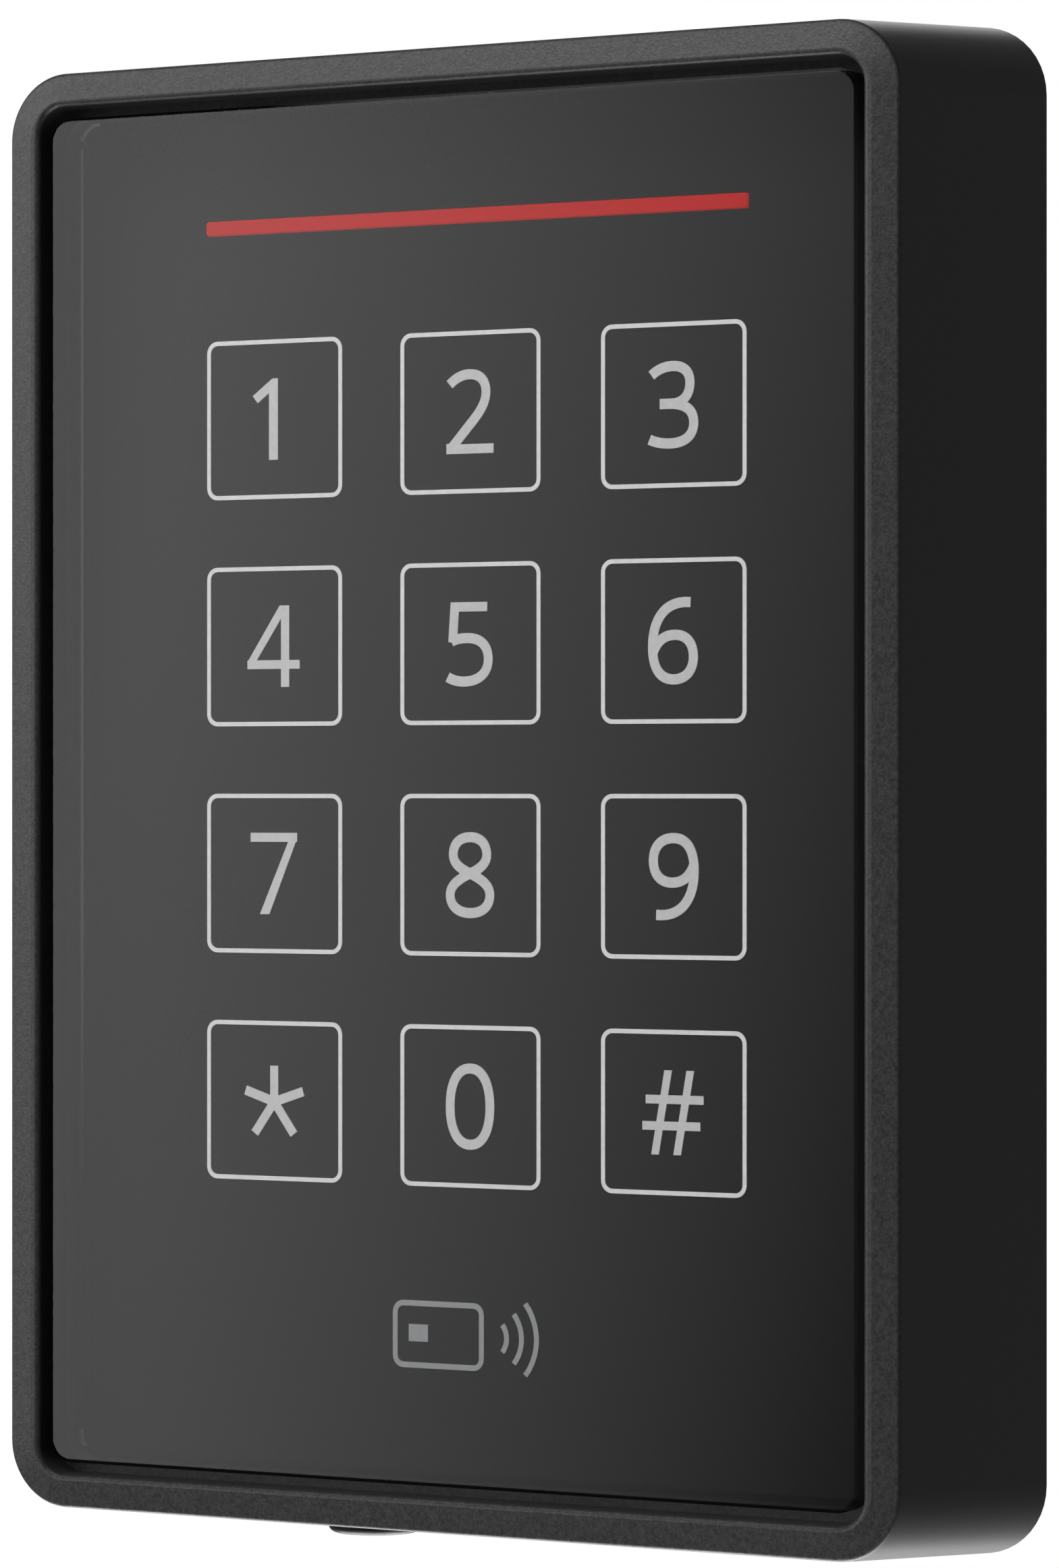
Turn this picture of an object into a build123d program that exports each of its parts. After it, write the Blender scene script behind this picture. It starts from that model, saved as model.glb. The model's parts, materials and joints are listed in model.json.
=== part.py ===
from build123d import *
import os

# Keypad access reader, in millimetres.  The origin is the centre of the wall face of the
# mounting plate.  +Z is up, the front looks along -Y, and X runs across the front.
# Depths are given as heights above the wall, so a height h lies at Y = -h.

os.makedirs("parts", exist_ok=True)

# ---- casing ------------------------------------------------------------------------------
front_w, front_t, front_corner = 77.35, 111.3, 5.1    # outline of the rim, at the front
rear_w, rear_t, rear_corner = 80.4, 114.5, 5.4        # outline at the wall, after the flare
rim_h, skirt_h = 22.2, 0.4                            # heights of the rim and of the rear edge
side_rim, end_rim = 2.81, 2.57                        # rim width at the sides, and at top and bottom
rim_inner_round, rim_outer_round = 0.42, 0.3
rim_slope_w, rim_drop = 2.1, 0.35                     # the rim slopes down to its outer edge
opening_w, opening_t, opening_corner = front_w - 2 * side_rim, front_t - 2 * end_rim, 2.2
ledge_top_h, ledge_back_h = 16.45, 15.0               # ledge that carries the window
ledge_w, ledge_t, ledge_corner = 65.0, 99.2, 1.5
cavity_w, cavity_t, cavity_corner = 71.0, 105.2, 2.5
shoulder_h = 4.9                                      # shoulder that the rear cover closes on
pocket_front, pocket_rear = (74.7, 108.9, 3.0), (75.4, 109.6, 3.2)
pillar, pillar_corner, pillar_x, pillar_z = 7.0, 1.2, 32.2, 49.3
pilot_r, pilot_depth = 1.05, 8.2                      # screw holes in the pillars

# ---- window and what lies behind it ------------------------------------------------------
window_w, window_t, window_corner = 70.28, 104.4, 1.8
window_front_h, window_back_h, window_edge, window_back_edge = 21.6, 16.95, 0.3, 0.5
ink, film, adhesive = 0.10, 0.25, 0.15
film_margin, film_corner = 0.25, 1.2
adhesive_w, adhesive_t = ledge_w + 0.4, ledge_t + 0.4  # opening in the adhesive
seal_top_h = 19.4
key_size, key_corner, key_line, key_pitch = 12.28, 0.95, 0.33, 17.5
key_columns, key_rows, top_row_z = 3, 4, 28.6
bar_w, bar_t, bar_corner, bar_z, bar_back_h = 47.4, 1.05, 0.2, 43.5, 15.7
bar_film_play, bar_guide_play = 0.1, 0.2
guide_w, guide_t, guide_top_h, guide_dimple = 64.4, 98.6, 16.55, 0.9
led_w, led_t, led_h, led_play = 1.6, 0.8, 0.55, 0.3
status_led_count, status_led_step = 6, 8.0

# ---- boards ------------------------------------------------------------------------------
board_w, board_t, board_corner = 69.6, 103.6, 1.5
corner_notch_x, corner_notch_z = 28.3, 45.4
touch_back_h, touch_front_h = 14.0, 15.0
coil_w, coil_t, coil_turns, coil_step, coil_line = 66.0, 90.0, 5, 0.8, 0.35
ferrite_back_h, ferrite_front_h = 13.35, 13.85
main_back_h, main_front_h = 9.0, 10.6
frame_hole_w, frame_hole_t = 54.0, 88.0
board_screw_x, board_screw_z = 31.0, 20.0
board_screw_r, board_screw_depth, board_screw_pilot_r, board_screw_pilot_depth = 0.88, 3.6, 0.9, 2.2
board_screw_hole_r, board_screw_head_r, board_screw_head_height = 1.1, 1.9, 1.3
board_screw_cross, board_screw_cross_t, board_screw_cross_depth = 2.2, 0.45, 0.7
lock_notch_w, lock_notch_z = 15.2, 47.2               # notch that clears the lock pocket
link_z, link_w, link_socket_t, link_header_t, link_socket_height = 38.0, 14.0, 3.6, 3.0, 2.0
link_hole_w, link_hole_t = 15.4, 4.6
processor, processor_height, processor_place, processor_edge = 10.0, 1.0, (-8.0, 12.0), 0.2
radio, radio_height, radio_place = 5.0, 0.9, (11.0, 22.0)
memory_w, memory_t, memory_height, memory_place = 6.0, 5.0, 0.9, (9.0, 8.0)
power_coil, power_coil_corner, power_coil_height = 5.0, 0.8, 2.0
power_coil_places = [(12.0, -12.0), (12.0, -20.0)]
capacitor_w, capacitor_t, capacitor_height, capacitor_step = 1.6, 0.8, 0.8, 3.0
capacitor_columns, capacitor_rows, capacitor_place = 5, 2, (-8.0, 0.0)
buzzer_r, buzzer_height, buzzer_place, buzzer_port_r, buzzer_port_depth = 6.0, 3.2, (-20.0, 22.0), 0.9, 0.8

# ---- rear cover and wall plate -----------------------------------------------------------
cover_w, cover_t, cover_corner = 73.8, 108.0, 2.8
cover_back_h, cover_front_h = 3.0, 4.6
cover_screw_x, cover_screw_z = 32.3, 49.4
cover_screw_r, cover_screw_length, cover_screw_head_r, cover_screw_head_height = 1.03, 9.0, 2.4, 1.37
cover_hole_r, cover_sink_r = 1.35, 2.5
cover_cross, cover_cross_t, cover_cross_depth = 2.6, 0.5, 0.6
gasket_inset, gasket_width, tab_play = 0.2, 1.0, 0.2
terminal_hole_w, terminal_hole_t, terminal_hole_corner, plunger_hole_play = 25.8, 10.8, 1.0, 0.4
post_x, post_z, post_r = 30.5, 32.0, 2.0
plate_w, plate_t, plate_corner, plate_h = 74.0, 108.2, 2.6, 2.0
entry_w, entry_t, entry_corner, entry_z = 36.0, 30.0, 3.0, -20.0    # cable entry in the wall plate
slot_r, slot_length, slot_chamfer, plunger_clearance = 2.1, 8.0, 1.2, 0.8
box_spacing_x, box_spacing_z = 60.0, 83.3             # wall-box screw spacings
tongue_x, tongue_w, tongue_t, tongue_back_h = 20.0, 10.0, 2.6, 0.8
tongue_slot_z, tongue_slot_w, tongue_slot_t = 53.9, 11.0, 4.0
tongue_slot_back_h, tongue_slot_depth = 0.5, 1.8

# ---- locking screw, M4, through the bottom wall into a tab of the wall plate --------------
lock_x, lock_h = -14.1, 7.5
head_r, head_height, head_round, shank_r, shank_end = 3.7, 1.7, 0.6, 1.95, 0.3
hex_r, hex_pin_r, hex_depth = 1.35, 0.45, 1.3
washer_r, washer_play, washer_thick, seat_z = 3.6, 0.05, 0.5, -55.6
head_bore_r, shank_hole_r, bore_length = 4.0, 2.3, 4.0
tab_w, tab_low_z, tab_high_z, tab_top_h = 10.8, -52.6, -49.6, 10.2
insert_r, insert_bore_r = 2.6, 2.0
lock_pocket_w, lock_pocket_low_z, lock_pocket_high_z, lock_pocket_top_h = 11.8, -52.9, -48.6, 10.4
lock_wall, lock_overlap = 1.3, 0.2

# ---- terminal and tamper switch ----------------------------------------------------------
poles, pole_pitch, terminal_z = 6, 3.5, -27.0
header_w, header_t, header_corner, header_end_h, header_floor_h = 25.0, 10.0, 0.6, 3.4, 8.0
pin, pin_play, pin_z, pin_end_h = 0.8, 0.01, terminal_z - 1.6, 4.2
plug_w, plug_t, plug_corner, plug_end_h, plug_top_h = 22.4, 7.6, 0.4, 0.8, 7.9
plug_gap, plug_socket, plug_socket_end_h = 0.2, 1.2, 4.0
wire_w, wire_t, wire_depth = 2.4, 2.2, 2.4
button_w, button_t, button_length, button_stand, button_z = 2.0, 1.4, 2.6, 0.5, terminal_z + 1.9
button_corner, button_play, button_well = 0.3, 0.1, 3.4
button_slot_w, button_slot_t, button_slot_depth = 1.2, 0.4, 0.3
tamper_x, tamper_z, tamper_size, tamper_corner, tamper_end_h = 22.0, 22.0, 7.0, 0.6, 4.9
plunger_r, plunger_play, plunger_round, plunger_tip_h = 1.6, 0.08, 0.6, -1.0
flange_r, flange_play, flange_back_h, flange_front_h = 2.5, 0.2, 5.7, 6.5
spring_end_h, spring_r, spring_wire, spring_turns = 8.4, 2.05, 0.16, 2.5

close_enough = 0.01                                   # for telling edges by their place or length


def at(height):
    """Plane parallel to the wall, at a height above it, looking forwards."""
    return Plane.XZ.offset(height)


def finish(block, name):
    """Label a finished piece and write it."""
    block.part.label = name
    export_step(block.part, f"parts/{name}.step")


def board_outline(lock_notch):
    """Board shape: corners cut for the pillars, and the lower edge for the lock pocket."""
    RectangleRounded(board_w, board_t, board_corner)
    with Locations([(sx * board_w / 2, sz * board_t / 2) for sx in (-1, 1) for sz in (-1, 1)]):
        Rectangle(board_w - 2 * corner_notch_x, board_t - 2 * corner_notch_z, mode=Mode.SUBTRACT)
    if lock_notch:
        with Locations((lock_x, -board_t / 2)):
            Rectangle(lock_notch_w, board_t - 2 * lock_notch_z, mode=Mode.SUBTRACT)


def cover_outline(inset):
    """Rear cover shape: a notch in its lower edge lets the plate's tab through."""
    RectangleRounded(cover_w - 2 * inset, cover_t - 2 * inset, cover_corner - inset)
    with Locations((lock_x, -cover_t / 2)):
        notch_w = lock_pocket_w + 2 * (tab_play + inset)
        notch_t = cover_t + 2 * (lock_pocket_high_z + inset)
        Rectangle(notch_w, notch_t, mode=Mode.SUBTRACT)


key_places = [
    ((column - 1) * key_pitch, top_row_z - row * key_pitch)
    for row in range(key_rows)
    for column in range(key_columns)
]
pole_places = [(n - (poles - 1) / 2) * pole_pitch for n in range(poles)]
pin_places = [(x, pin_z) for x in pole_places]
cover_screw_places = [(sx * cover_screw_x, sz * cover_screw_z) for sx in (-1, 1) for sz in (-1, 1)]
board_screw_places = [(sx * board_screw_x, sz * board_screw_z) for sx in (-1, 1) for sz in (-1, 1)]

# ==== front housing: flared shell with the rim, ledge, pillars and lock pocket =============
with BuildPart() as front_housing:
    with BuildSketch(at(skirt_h)):
        RectangleRounded(rear_w, rear_t, rear_corner)
    with BuildSketch(at(rim_h - rim_drop)):
        RectangleRounded(front_w, front_t, front_corner)
    loft(ruled=True)
    with BuildSketch(at(rim_h - rim_drop)):
        RectangleRounded(front_w, front_t, front_corner)
    with BuildSketch(at(rim_h)):
        RectangleRounded(front_w - 2 * rim_slope_w, front_t - 2 * rim_slope_w, front_corner - rim_slope_w)
    loft(ruled=True)
    rim_edge_y = rim_drop - rim_h
    rim_edge = front_housing.edges().filter_by(lambda edge: abs(edge.center().Y - rim_edge_y) < close_enough)
    fillet(rim_edge, rim_outer_round)
    with BuildSketch(at(ledge_top_h)):
        RectangleRounded(opening_w, opening_t, opening_corner)
    extrude(amount=rim_h - ledge_top_h, mode=Mode.SUBTRACT)
    fillet(front_housing.faces().sort_by(Axis.Y)[0].inner_wires().edges(), rim_inner_round)
    with BuildSketch(at(ledge_back_h)):
        RectangleRounded(ledge_w, ledge_t, ledge_corner)
    extrude(amount=ledge_top_h - ledge_back_h, mode=Mode.SUBTRACT)
    with BuildSketch(at(shoulder_h)):
        RectangleRounded(cavity_w, cavity_t, cavity_corner)
    extrude(amount=ledge_back_h - shoulder_h, mode=Mode.SUBTRACT)
    with BuildSketch(at(skirt_h)):
        RectangleRounded(*pocket_rear)
    with BuildSketch(at(shoulder_h)):
        RectangleRounded(*pocket_front)
    loft(ruled=True, mode=Mode.SUBTRACT)
    with BuildSketch(at(shoulder_h)):
        with Locations([(sx * pillar_x, sz * pillar_z) for sx in (-1, 1) for sz in (-1, 1)]):
            RectangleRounded(pillar, pillar, pillar_corner)
    extrude(amount=ledge_back_h - shoulder_h)
    with BuildSketch(at(shoulder_h)):
        with Locations(cover_screw_places):
            Circle(pilot_r)
    extrude(amount=pilot_depth, mode=Mode.SUBTRACT)
    with BuildSketch(at(shoulder_h)):
        with Locations((lock_x, (lock_pocket_high_z + lock_wall - cavity_t / 2) / 2)):
            Rectangle(
                lock_pocket_w + 2 * lock_wall, cavity_t / 2 + lock_pocket_high_z + lock_wall + lock_overlap
            )
    extrude(amount=lock_pocket_top_h + lock_wall - shoulder_h)
    with BuildSketch(at(skirt_h)):
        with Locations((lock_x, (lock_pocket_low_z + lock_pocket_high_z) / 2)):
            Rectangle(lock_pocket_w, lock_pocket_high_z - lock_pocket_low_z)
    extrude(amount=lock_pocket_top_h - skirt_h, mode=Mode.SUBTRACT)
    with BuildSketch(Plane.XY.offset(seat_z - bore_length)):
        with Locations((lock_x, -lock_h)):
            Circle(head_bore_r)
    extrude(amount=bore_length, mode=Mode.SUBTRACT)
    with BuildSketch(Plane.XY.offset(seat_z)):
        with Locations((lock_x, -lock_h)):
            Circle(shank_hole_r)
    extrude(amount=bore_length, mode=Mode.SUBTRACT)
    with BuildSketch(at(tongue_slot_back_h)):
        with Locations((-tongue_x, tongue_slot_z), (tongue_x, tongue_slot_z)):
            Rectangle(tongue_slot_w, tongue_slot_t)
    extrude(amount=tongue_slot_depth, mode=Mode.SUBTRACT)
finish(front_housing, "front_housing")

# ==== window stack ========================================================================
with BuildPart() as front_window:
    with BuildSketch(at(window_back_h)):
        RectangleRounded(window_w, window_t, window_corner)
    extrude(amount=window_front_h - window_back_h)
    fillet(front_window.faces().sort_by(Axis.Y)[0].edges(), window_edge)
    chamfer(front_window.faces().sort_by(Axis.Y)[-1].edges(), window_back_edge)
finish(front_window, "front_window")

with BuildPart() as window_seal:
    with BuildSketch(at(ledge_top_h)):
        RectangleRounded(opening_w, opening_t, opening_corner)
        RectangleRounded(window_w, window_t, window_corner, mode=Mode.SUBTRACT)
    extrude(amount=seal_top_h - ledge_top_h)
finish(window_seal, "window_seal")

film_front_h = window_back_h - ink
film_back_h = film_front_h - film
with BuildPart() as legend_film:
    with BuildSketch(at(film_back_h)):
        RectangleRounded(window_w - 2 * film_margin, window_t - 2 * film_margin, film_corner)
        with Locations((0, bar_z)):
            Rectangle(bar_w + 2 * bar_film_play, bar_t + 2 * bar_film_play, mode=Mode.SUBTRACT)
    extrude(amount=film)
finish(legend_film, "legend_film")

with BuildPart() as window_adhesive:
    with BuildSketch(at(film_back_h - adhesive)):
        RectangleRounded(window_w - 2 * film_margin, window_t - 2 * film_margin, film_corner)
        RectangleRounded(adhesive_w, adhesive_t, ledge_corner, mode=Mode.SUBTRACT)
    extrude(amount=adhesive)
finish(window_adhesive, "window_adhesive")

with BuildPart() as key_outline_ink:
    with BuildSketch(at(film_front_h)):
        with Locations(key_places):
            RectangleRounded(key_size, key_size, key_corner)
        with Locations(key_places):
            RectangleRounded(
                key_size - 2 * key_line, key_size - 2 * key_line, key_corner - key_line, mode=Mode.SUBTRACT
            )
    extrude(amount=ink)
finish(key_outline_ink, "key_outline_ink")

with BuildPart() as led_bar_lens:
    with BuildSketch(at(bar_back_h)):
        with Locations((0, bar_z)):
            RectangleRounded(bar_w, bar_t, bar_corner)
    extrude(amount=window_back_h - bar_back_h)
finish(led_bar_lens, "led_bar_lens")

with BuildPart() as backlight_guide:
    with BuildSketch(at(touch_front_h)):
        RectangleRounded(guide_w, guide_t, film_corner)
        with Locations((0, bar_z)):
            Rectangle(bar_w + 2 * bar_guide_play, bar_t + 2 * bar_guide_play, mode=Mode.SUBTRACT)
    extrude(amount=guide_top_h - touch_front_h)
    with BuildSketch(at(touch_front_h)):
        with Locations(key_places):
            Rectangle(led_w + 2 * led_play, led_t + 2 * led_play)
    extrude(amount=guide_dimple, mode=Mode.SUBTRACT)
finish(backlight_guide, "backlight_guide")

# ==== touch board with its lamps and the radio antenna =====================================
with BuildPart() as touch_board:
    with BuildSketch(at(touch_back_h)):
        board_outline(lock_notch=False)
    extrude(amount=touch_front_h - touch_back_h)
finish(touch_board, "touch_board")

with BuildPart() as key_leds:
    with BuildSketch(at(touch_front_h)):
        with Locations(key_places):
            Rectangle(led_w, led_t)
    extrude(amount=led_h)
finish(key_leds, "key_leds")

with BuildPart() as status_leds:
    with BuildSketch(at(touch_front_h)):
        with Locations((0, bar_z)):
            with GridLocations(status_led_step, 0, status_led_count, 1):
                Rectangle(led_w, led_t)
    extrude(amount=led_h)
finish(status_leds, "status_leds")

with BuildPart() as antenna_coil:
    with BuildSketch(at(ferrite_front_h)):
        for turn in range(coil_turns):
            x, z = coil_w / 2 - turn * coil_step, coil_t / 2 - turn * coil_step
            start_x = x + (coil_step if turn else 0)
            with Locations(((x - start_x) / 2, z)):
                Rectangle(start_x + x + coil_line, coil_line)
            with Locations((x, 0)):
                Rectangle(coil_line, 2 * z + coil_line)
            with Locations((0, -z)):
                Rectangle(2 * x + coil_line, coil_line)
            with Locations((-x, -coil_step / 2)):
                Rectangle(coil_line, 2 * z - coil_step + coil_line)
    extrude(amount=touch_back_h - ferrite_front_h)
finish(antenna_coil, "antenna_coil")

with BuildPart() as ferrite_sheet:
    with BuildSketch(at(ferrite_back_h)):
        board_outline(lock_notch=False)
        with Locations((0, link_z)):
            Rectangle(link_hole_w, link_hole_t, mode=Mode.SUBTRACT)
    extrude(amount=ferrite_front_h - ferrite_back_h)
finish(ferrite_sheet, "ferrite_sheet")

# ==== main board, its parts and the frame between the boards ================================
with BuildPart() as board_frame:
    with BuildSketch(at(main_front_h)):
        board_outline(lock_notch=True)
        Rectangle(frame_hole_w, frame_hole_t, mode=Mode.SUBTRACT)
    extrude(amount=ferrite_back_h - main_front_h)
    with BuildSketch(at(main_front_h)):
        with Locations(board_screw_places):
            Circle(board_screw_pilot_r)
    extrude(amount=board_screw_pilot_depth, mode=Mode.SUBTRACT)
finish(board_frame, "board_frame")

with BuildPart() as main_board:
    with BuildSketch(at(main_back_h)):
        board_outline(lock_notch=True)
        with Locations(board_screw_places):
            Circle(board_screw_hole_r, mode=Mode.SUBTRACT)
    extrude(amount=main_front_h - main_back_h)
finish(main_board, "main_board")

with BuildPart() as board_screws:
    with BuildSketch(at(main_back_h)):
        with Locations(board_screw_places):
            Circle(board_screw_r)
    extrude(amount=board_screw_depth)
    with BuildSketch(at(main_back_h)):
        with Locations(board_screw_places):
            Circle(board_screw_head_r)
    extrude(amount=-board_screw_head_height)
    with BuildSketch(at(main_back_h - board_screw_head_height)):
        with Locations(board_screw_places):
            Rectangle(board_screw_cross, board_screw_cross_t)
            Rectangle(board_screw_cross_t, board_screw_cross)
    extrude(amount=board_screw_cross_depth, mode=Mode.SUBTRACT)
finish(board_screws, "board_screws")

with BuildPart() as link_socket:
    with BuildSketch(at(main_front_h)):
        with Locations((0, link_z)):
            Rectangle(link_w, link_socket_t)
    extrude(amount=link_socket_height)
finish(link_socket, "link_socket")

with BuildPart() as link_header:
    with BuildSketch(at(main_front_h + link_socket_height)):
        with Locations((0, link_z)):
            Rectangle(link_w, link_header_t)
    extrude(amount=touch_back_h - main_front_h - link_socket_height)
finish(link_header, "link_header")

with BuildPart() as processor_chip:
    with BuildSketch(at(main_front_h)):
        with Locations(processor_place):
            Rectangle(processor, processor)
    extrude(amount=processor_height)
    chamfer(processor_chip.faces().sort_by(Axis.Y)[0].edges(), processor_edge)
finish(processor_chip, "processor_chip")

with BuildPart() as radio_chip:
    with BuildSketch(at(main_front_h)):
        with Locations(radio_place):
            Rectangle(radio, radio)
    extrude(amount=radio_height)
finish(radio_chip, "radio_chip")

with BuildPart() as memory_chip:
    with BuildSketch(at(main_front_h)):
        with Locations(memory_place):
            Rectangle(memory_w, memory_t)
    extrude(amount=memory_height)
finish(memory_chip, "memory_chip")

with BuildPart() as power_coils:
    with BuildSketch(at(main_front_h)):
        with Locations(power_coil_places):
            RectangleRounded(power_coil, power_coil, power_coil_corner)
    extrude(amount=power_coil_height)
finish(power_coils, "power_coils")

with BuildPart() as board_capacitors:
    with BuildSketch(at(main_front_h)):
        with Locations(capacitor_place):
            with GridLocations(capacitor_step, capacitor_step, capacitor_columns, capacitor_rows):
                Rectangle(capacitor_w, capacitor_t)
    extrude(amount=capacitor_height)
finish(board_capacitors, "board_capacitors")

with BuildPart() as buzzer:
    with BuildSketch(at(main_back_h - buzzer_height)):
        with Locations(buzzer_place):
            Circle(buzzer_r)
    extrude(amount=buzzer_height)
    with BuildSketch(at(main_back_h - buzzer_height)):
        with Locations(buzzer_place):
            Circle(buzzer_port_r)
    extrude(amount=buzzer_port_depth, mode=Mode.SUBTRACT)
finish(buzzer, "buzzer")

# ==== terminal: header on the board, pins, and the plug that pulls out of it ===============
with BuildPart() as terminal_header:
    with BuildSketch(at(header_end_h)):
        with Locations((0, terminal_z)):
            RectangleRounded(header_w, header_t, header_corner)
    extrude(amount=main_back_h - header_end_h)
    with BuildSketch(at(header_end_h)):
        with Locations((0, terminal_z)):
            Rectangle(plug_w + 2 * plug_gap, plug_t + 2 * plug_gap)
    extrude(amount=header_floor_h - header_end_h, mode=Mode.SUBTRACT)
    with BuildSketch(at(header_floor_h)):
        with Locations(pin_places):
            Rectangle(pin + 2 * pin_play, pin + 2 * pin_play)
    extrude(amount=main_back_h - header_floor_h, mode=Mode.SUBTRACT)
finish(terminal_header, "terminal_header")

with BuildPart() as header_pins:
    with BuildSketch(at(pin_end_h)):
        with Locations(pin_places):
            Rectangle(pin, pin)
    extrude(amount=main_back_h - pin_end_h)
finish(header_pins, "header_pins")

with BuildPart() as terminal_plug:
    with BuildSketch(at(plug_end_h)):
        with Locations((0, terminal_z)):
            RectangleRounded(plug_w, plug_t, plug_corner)
    extrude(amount=plug_top_h - plug_end_h)
    with BuildSketch(at(plug_socket_end_h)):
        with Locations(pin_places):
            Rectangle(plug_socket, plug_socket)
    extrude(amount=plug_top_h - plug_socket_end_h, mode=Mode.SUBTRACT)
    with BuildSketch(at(plug_end_h)):
        with Locations(pin_places):
            Rectangle(wire_w, wire_t)
    extrude(amount=wire_depth, mode=Mode.SUBTRACT)
    with BuildSketch(at(plug_end_h)):
        with Locations([(x, button_z) for x in pole_places]):
            Rectangle(button_w + 2 * button_play, button_t + 2 * button_play)
    extrude(amount=button_well, mode=Mode.SUBTRACT)
finish(terminal_plug, "terminal_plug")

for number, x in enumerate(pole_places, start=1):
    with BuildPart() as release_button:
        with BuildSketch(at(plug_end_h - button_stand)):
            with Locations((x, button_z)):
                RectangleRounded(button_w, button_t, button_corner)
        extrude(amount=button_length)
        with BuildSketch(at(plug_end_h - button_stand)):
            with Locations((x, button_z)):
                Rectangle(button_slot_w, button_slot_t)
        extrude(amount=button_slot_depth, mode=Mode.SUBTRACT)
    finish(release_button, f"release_button_{number}")

# ==== tamper switch: body, sprung plunger and its spring ===================================
with BuildPart() as tamper_body:
    with BuildSketch(at(tamper_end_h)):
        with Locations((tamper_x, tamper_z)):
            RectangleRounded(tamper_size, tamper_size, tamper_corner)
    extrude(amount=main_back_h - tamper_end_h)
    with BuildSketch(at(flange_back_h)):
        with Locations((tamper_x, tamper_z)):
            Circle(flange_r + flange_play)
    extrude(amount=spring_end_h - flange_back_h, mode=Mode.SUBTRACT)
    with BuildSketch(at(tamper_end_h)):
        with Locations((tamper_x, tamper_z)):
            Circle(plunger_r + plunger_play)
    extrude(amount=flange_back_h - tamper_end_h, mode=Mode.SUBTRACT)
finish(tamper_body, "tamper_body")

with BuildPart() as tamper_plunger:
    with BuildSketch(at(plunger_tip_h)):
        with Locations((tamper_x, tamper_z)):
            Circle(plunger_r)
    extrude(amount=flange_back_h - plunger_tip_h)
    fillet(tamper_plunger.faces().sort_by(Axis.Y)[-1].edges(), plunger_round)
    with BuildSketch(at(flange_back_h)):
        with Locations((tamper_x, tamper_z)):
            Circle(flange_r)
    extrude(amount=flange_front_h - flange_back_h)
finish(tamper_plunger, "tamper_plunger")

spring_length = spring_end_h - flange_front_h
spring_pitch = (spring_length - 2 * spring_wire) / spring_turns
with BuildPart() as tamper_spring:
    with BuildLine():
        spring_path = Helix(
            pitch=spring_pitch,
            height=spring_length - 2 * spring_wire,
            radius=spring_r,
            center=(tamper_x, -flange_front_h - spring_wire, tamper_z),
            direction=(0, -1, 0),
        )
    with BuildSketch(Plane(spring_path @ 0, z_dir=spring_path % 0)):
        Circle(spring_wire)
    sweep(path=spring_path, is_frenet=True)
finish(tamper_spring, "tamper_spring")

# ==== rear cover, its gasket and screws ====================================================
with BuildPart() as rear_cover:
    with BuildSketch(at(cover_back_h)):
        cover_outline(0)
        with Locations((0, terminal_z)):
            RectangleRounded(terminal_hole_w, terminal_hole_t, terminal_hole_corner, mode=Mode.SUBTRACT)
        with Locations((tamper_x, tamper_z)):
            Circle(plunger_r + plunger_hole_play, mode=Mode.SUBTRACT)
    extrude(amount=cover_front_h - cover_back_h)
    with BuildSketch(at(cover_front_h)):
        with Locations([(sx * post_x, sz * post_z) for sx in (-1, 1) for sz in (-1, 1)]):
            Circle(post_r)
    extrude(amount=main_back_h - cover_front_h)
    with Locations(*[Plane(origin=(x, -cover_back_h, z), z_dir=(0, 1, 0)) for x, z in cover_screw_places]):
        CounterSinkHole(radius=cover_hole_r, counter_sink_radius=cover_sink_r)
finish(rear_cover, "rear_cover")

with BuildPart() as cover_gasket:
    with BuildSketch(at(cover_front_h)):
        cover_outline(gasket_inset)
        with BuildSketch(mode=Mode.SUBTRACT):
            cover_outline(gasket_inset + gasket_width)
    extrude(amount=shoulder_h - cover_front_h)
finish(cover_gasket, "cover_gasket")

with BuildPart() as cover_screws:
    with BuildSketch(at(cover_back_h)):
        with Locations(cover_screw_places):
            Circle(cover_screw_r)
    extrude(amount=cover_screw_length)
    for x, z in cover_screw_places:
        with BuildSketch(at(cover_back_h)):
            with Locations((x, z)):
                Circle(cover_screw_head_r)
        with BuildSketch(at(cover_back_h + cover_screw_head_height)):
            with Locations((x, z)):
                Circle(cover_screw_r)
        loft()
    with BuildSketch(at(cover_back_h)):
        with Locations(cover_screw_places):
            Rectangle(cover_cross, cover_cross_t)
            Rectangle(cover_cross_t, cover_cross)
    extrude(amount=cover_cross_depth, mode=Mode.SUBTRACT)
finish(cover_screws, "cover_screws")

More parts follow.
